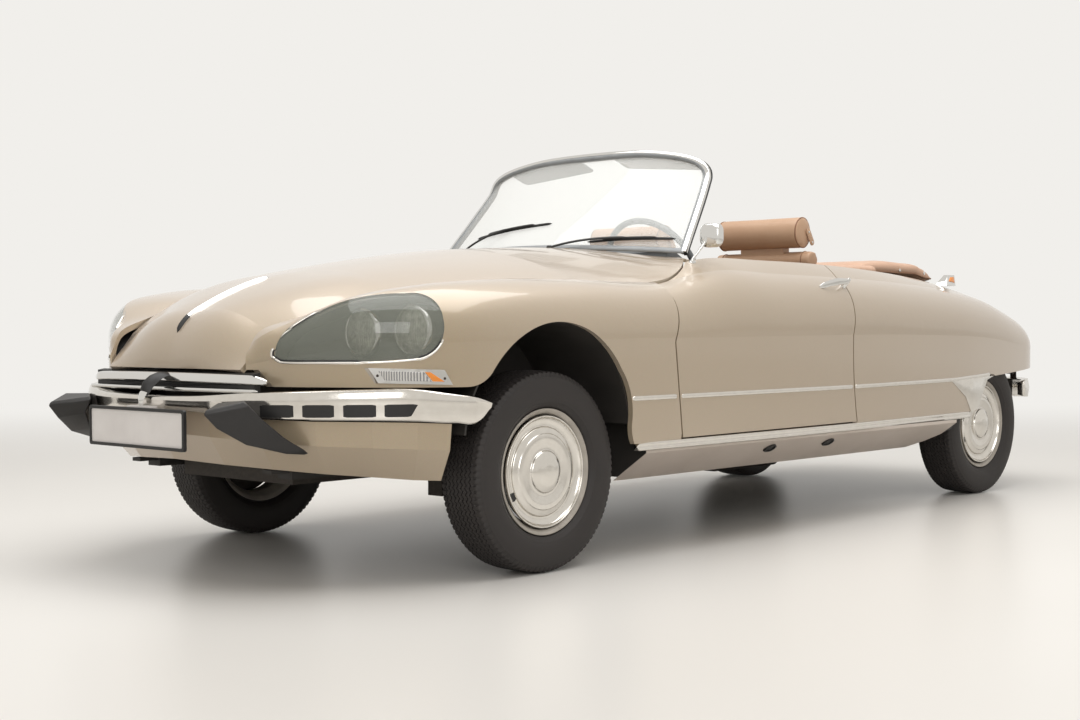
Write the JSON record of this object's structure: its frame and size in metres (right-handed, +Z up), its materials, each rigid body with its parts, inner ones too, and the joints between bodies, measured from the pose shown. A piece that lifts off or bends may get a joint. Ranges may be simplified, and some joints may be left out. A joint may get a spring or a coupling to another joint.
{
  "type": "convertible car",
  "caption": "Two-door convertible car with hood folded under its cover, opening doors, bonnet and boot lid, steered front wheels and rolling wheels.",
  "frame": {"origin": "on the ground under the middle of the overall length and width", "axes": "+X to the car's left, -Y to its nose, +Z up"},
  "size_m": [1.7988, 4.8917, 1.5209],
  "materials": {
    "paint": "metallic beige lacquer",
    "steel": "polished stainless steel",
    "chassis": "black chassis paint",
    "chrome": "bright chrome",
    "rubber": "black rubber",
    "tyre": "black tyre rubber",
    "glass": "clear glass",
    "lamp_lens": "tinted lamp lens",
    "plastic": "grey moulded plastic",
    "black_plastic": "black moulding",
    "leather": "tan leather",
    "hood_cloth": "tan hood cover leathercloth",
    "iron": "cast metal",
    "plate_white": "plain white",
    "reflector": "bright reflector"
  },
  "bodies": {
    "body": {"dashboard": "plastic", "engine": "iron", "exhaust": "iron", "front_arches": "chassis", "front_arms": "iron", "front_bumper": "steel", "front_grille": "black_plastic", "front_indicators": "chrome", "front_plate": "plate_white", "front_seat_left": "leather", "front_seat_right": "leather", "front_valance": "paint", "front_wing_left": "paint", "front_wing_right": "paint", "headlamps": "reflector", "hood_cover": "hood_cloth", "lamp_covers": "glass", "lamp_pans": "black_plastic", "overriders": "rubber", "platform": "chassis", "rear_arches": "chassis", "rear_arms": "iron", "rear_bumper": "steel", "rear_deck": "paint", "rear_guards": "steel", "rear_indicators": "chrome", "rear_seat": "leather", "rear_wing_left": "paint", "rear_wing_right": "paint", "scuttle": "paint", "tail_lamps": "lamp_lens", "tail_panel": "paint", "windscreen_frame": "chrome", "windscreen_glass": "glass", "wipers": "black_plastic"},
    "bonnet": {"bonnet": "paint"},
    "boot_lid": {"boot_lid": "paint"},
    "door_left": {"door_left": "paint", "door_frame_left": "leather", "door_mirror": "chrome"},
    "door_right": {"door_right": "paint", "door_frame_right": "leather"},
    "steering_wheel": {"steering_wheel": "plastic"},
    "knuckle_left": {"knuckle_left": "iron"},
    "knuckle_right": {"knuckle_right": "iron"},
    "wheel_front_left": {"tyre_front_left": "tyre", "wheel_front_left": "steel"},
    "wheel_front_right": {"tyre_front_right": "tyre", "wheel_front_right": "steel"},
    "wheel_rear_left": {"tyre_rear_left": "tyre", "wheel_rear_left": "steel"},
    "wheel_rear_right": {"tyre_rear_right": "tyre", "wheel_rear_right": "steel"}
  },
  "joints": [
    {"name": "door_left_hinge", "type": "hinge", "parent": "body", "child": "door_left", "pos_m": [0.858, -0.847, 0.5], "axis": [0, 0, -1], "range_deg": [0, 65]},
    {"name": "door_right_hinge", "type": "hinge", "parent": "body", "child": "door_right", "pos_m": [-0.858, -0.847, 0.5], "axis": [0, 0, 1], "range_deg": [0, 65]},
    {"name": "bonnet_hinge", "type": "hinge", "parent": "body", "child": "bonnet", "pos_m": [0.604, -0.472, 1.036], "axis": [-1, 0, 0], "range_deg": [0, 50]},
    {"name": "boot_hinge", "type": "hinge", "parent": "body", "child": "boot_lid", "pos_m": [0.41, 1.548, 0.977], "axis": [1, 0, 0], "range_deg": [0, 60]},
    {"name": "steer_left", "type": "hinge", "parent": "body", "child": "knuckle_left", "pos_m": [0.758, -1.377, 0.33], "axis": [0, 0, 1], "range_deg": [-35, 35]},
    {"name": "steer_right", "type": "hinge", "parent": "body", "child": "knuckle_right", "pos_m": [-0.758, -1.377, 0.33], "axis": [0, 0, 1], "range_deg": [-35, 35]},
    {"name": "steering_wheel_turn", "type": "hinge", "parent": "body", "child": "steering_wheel", "pos_m": [0.37, -0.255, 1.024], "axis": [0, 0.8829, 0.4695], "range_deg": [-525, 525]},
    {"name": "roll_front_left", "type": "hinge", "parent": "knuckle_left", "child": "wheel_front_left", "pos_m": [0.758, -1.377, 0.33], "axis": [1, 0, 0], "continuous": true},
    {"name": "roll_front_right", "type": "hinge", "parent": "knuckle_right", "child": "wheel_front_right", "pos_m": [-0.758, -1.377, 0.33], "axis": [1, 0, 0], "continuous": true},
    {"name": "roll_rear_left", "type": "hinge", "parent": "body", "child": "wheel_rear_left", "pos_m": [0.658, 1.748, 0.33], "axis": [1, 0, 0], "continuous": true},
    {"name": "roll_rear_right", "type": "hinge", "parent": "body", "child": "wheel_rear_right", "pos_m": [-0.658, 1.748, 0.33], "axis": [1, 0, 0], "continuous": true}
  ],
  "couplings": [
    {"joint": "steer_right", "follows": "steer_left", "ratio": 1},
    {"joint": "steering_wheel_turn", "follows": "steer_left", "ratio": 15}
  ]
}
